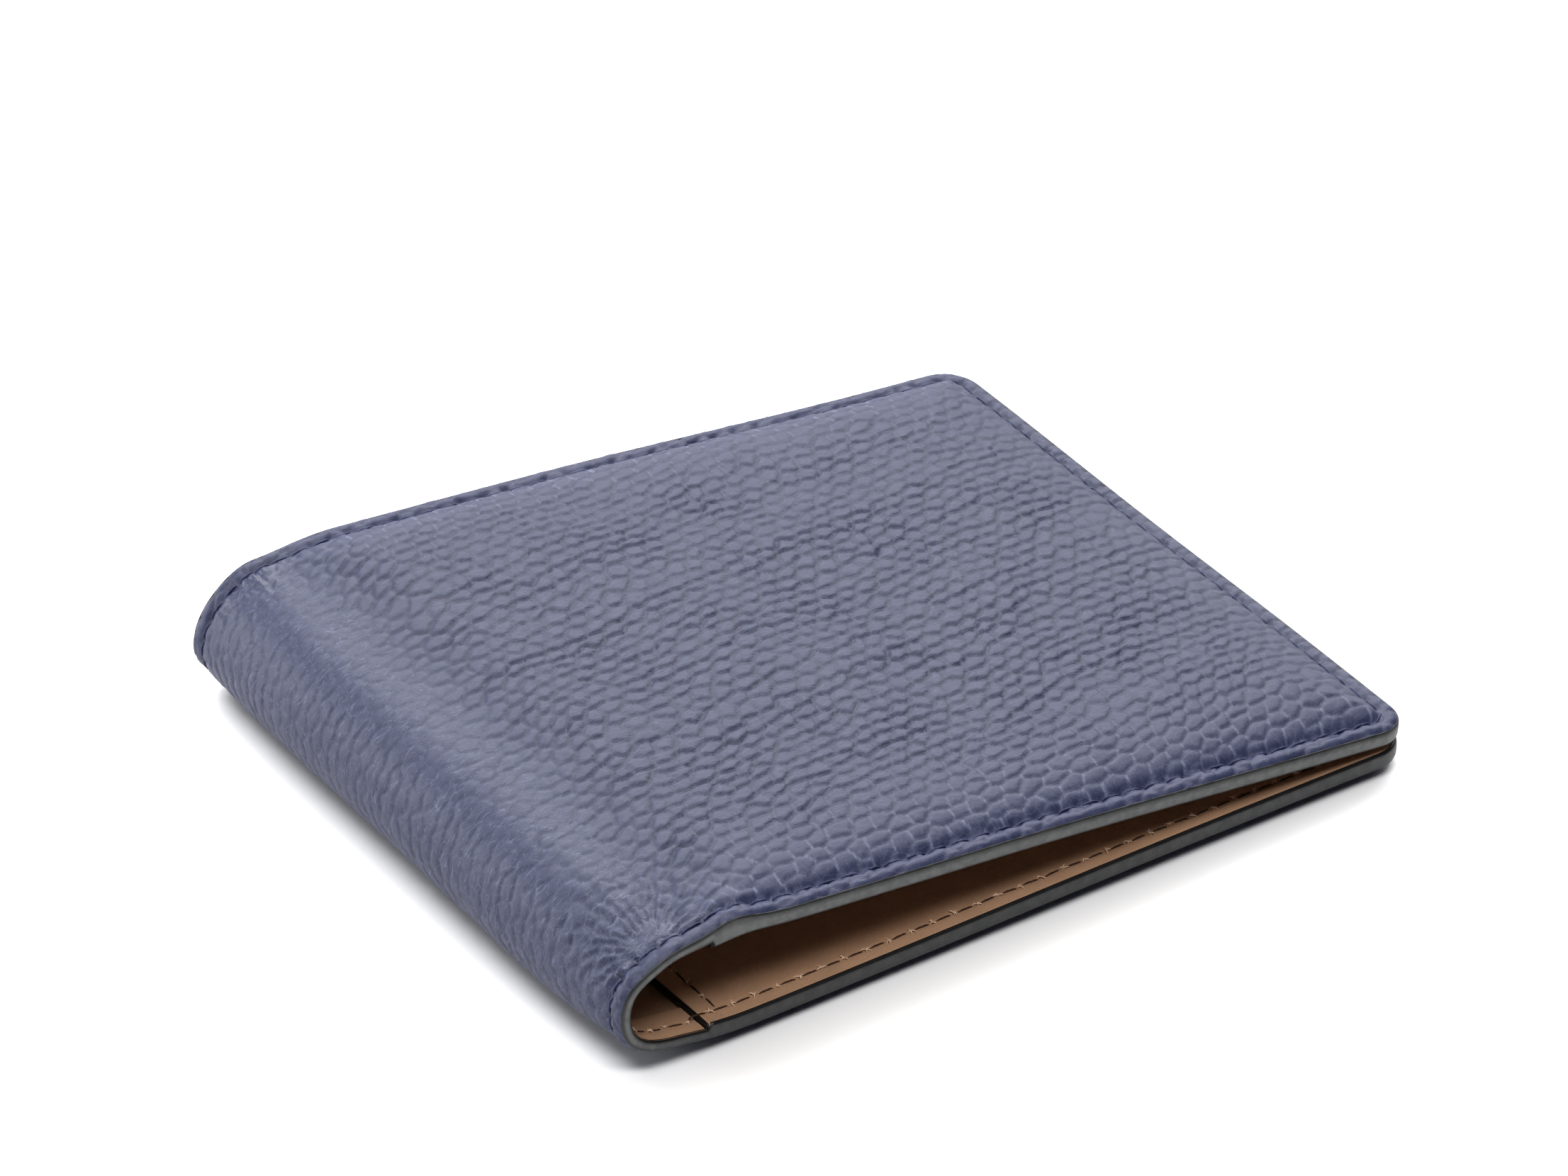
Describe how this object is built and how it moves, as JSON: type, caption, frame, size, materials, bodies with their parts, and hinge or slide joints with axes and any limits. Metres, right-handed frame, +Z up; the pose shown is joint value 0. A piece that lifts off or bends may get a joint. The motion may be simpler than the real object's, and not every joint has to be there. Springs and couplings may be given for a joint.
{
  "type": "bifold wallet",
  "caption": "Folded two-part wallet of grained leather with puffed stitched covers, a rounded spine, a bill compartment and stepped card pockets inside.",
  "frame": {"origin": "middle of the closed wallet's footprint, on the surface it lies on", "axes": "+X from the spine to the open edges, +Y from the sewn bottom edge to the mouth of the bill compartment, +Z up through both covers"},
  "size_m": [0.1101, 0.092, 0.0168],
  "materials": {
    "outer_leather": "grained slate blue, semi-matte",
    "lining_leather": "smooth tan, matte",
    "pocket_leather": "smooth tan, matte",
    "padding": "soft foam",
    "edge_paint": "dark grey edge paint",
    "outer_thread": "navy waxed thread",
    "inner_thread": "brown waxed thread"
  },
  "bodies": {
    "back_half": {"back_cover_leather": "outer_leather", "back_cover_padding": "padding", "back_cover_lining": "lining_leather", "back_bill_divider": "lining_leather", "back_card_pocket_1": "pocket_leather", "back_card_pocket_2": "pocket_leather", "back_card_pocket_3": "pocket_leather", "back_card_pocket_4": "pocket_leather", "back_spine_gusset_end": "pocket_leather", "back_edge_paint": "edge_paint", "back_panel_edge_paint": "edge_paint", "back_border_stitching": "outer_thread", "back_inside_border_stitching": "inner_thread", "back_pocket_side_stitching": "inner_thread"},
    "front_half": {"front_cover_leather": "outer_leather", "front_cover_padding": "padding", "front_cover_lining": "lining_leather", "front_bill_divider": "lining_leather", "front_card_pocket_1": "pocket_leather", "front_card_pocket_2": "pocket_leather", "front_card_pocket_3": "pocket_leather", "front_card_pocket_4": "pocket_leather", "front_spine_gusset_end": "pocket_leather", "front_edge_paint": "edge_paint", "front_panel_edge_paint": "edge_paint", "front_border_stitching": "outer_thread", "front_inside_border_stitching": "inner_thread", "front_pocket_side_stitching": "inner_thread"},
    "spine_stave_1": {"spine_leather_1": "outer_leather", "spine_lining_1": "lining_leather", "spine_gusset_1": "pocket_leather", "spine_edge_paint_1": "edge_paint", "spine_stitching_1": "outer_thread"},
    "spine_stave_2": {"spine_leather_2": "outer_leather", "spine_lining_2": "lining_leather", "spine_gusset_2": "pocket_leather", "spine_edge_paint_2": "edge_paint", "spine_stitching_2": "outer_thread"},
    "spine_stave_3": {"spine_leather_3": "outer_leather", "spine_lining_3": "lining_leather", "spine_gusset_3": "pocket_leather", "spine_edge_paint_3": "edge_paint", "spine_stitching_3": "outer_thread"},
    "spine_stave_4": {"spine_leather_4": "outer_leather", "spine_lining_4": "lining_leather", "spine_gusset_4": "pocket_leather", "spine_edge_paint_4": "edge_paint", "spine_stitching_4": "outer_thread"},
    "spine_stave_5": {"spine_leather_5": "outer_leather", "spine_lining_5": "lining_leather", "spine_gusset_5": "pocket_leather", "spine_edge_paint_5": "edge_paint", "spine_stitching_5": "outer_thread"}
  },
  "joints": [
    {"name": "spine_crease_1", "type": "hinge", "parent": "back_half", "child": "spine_stave_1", "pos_m": [-0.04928, 0, 0.00148], "axis": [0, -1, 0], "range_deg": [0, 30.97]},
    {"name": "spine_crease_2", "type": "hinge", "parent": "spine_stave_1", "child": "spine_stave_2", "pos_m": [-0.05285, 0, 0.00363], "axis": [0, -1, 0], "range_deg": [0, 30.97]},
    {"name": "spine_crease_3", "type": "hinge", "parent": "spine_stave_2", "child": "spine_stave_3", "pos_m": [-0.05481, 0, 0.0073], "axis": [0, -1, 0], "range_deg": [0, 30.97]},
    {"name": "spine_crease_4", "type": "hinge", "parent": "spine_stave_3", "child": "spine_stave_4", "pos_m": [-0.0546, 0, 0.01146], "axis": [0, -1, 0], "range_deg": [0, 30.97]},
    {"name": "spine_crease_5", "type": "hinge", "parent": "spine_stave_4", "child": "spine_stave_5", "pos_m": [-0.05228, 0, 0.01492], "axis": [0, -1, 0], "range_deg": [0, 30.97]},
    {"name": "spine_crease_6", "type": "hinge", "parent": "spine_stave_5", "child": "front_half", "pos_m": [-0.04851, 0, 0.01669], "axis": [0, -1, 0], "range_deg": [0, 30.97]}
  ],
  "couplings": [
    {"joint": "spine_crease_2", "follows": "spine_crease_1", "ratio": 1},
    {"joint": "spine_crease_3", "follows": "spine_crease_1", "ratio": 1},
    {"joint": "spine_crease_4", "follows": "spine_crease_1", "ratio": 1},
    {"joint": "spine_crease_5", "follows": "spine_crease_1", "ratio": 1},
    {"joint": "spine_crease_6", "follows": "spine_crease_1", "ratio": 1}
  ]
}
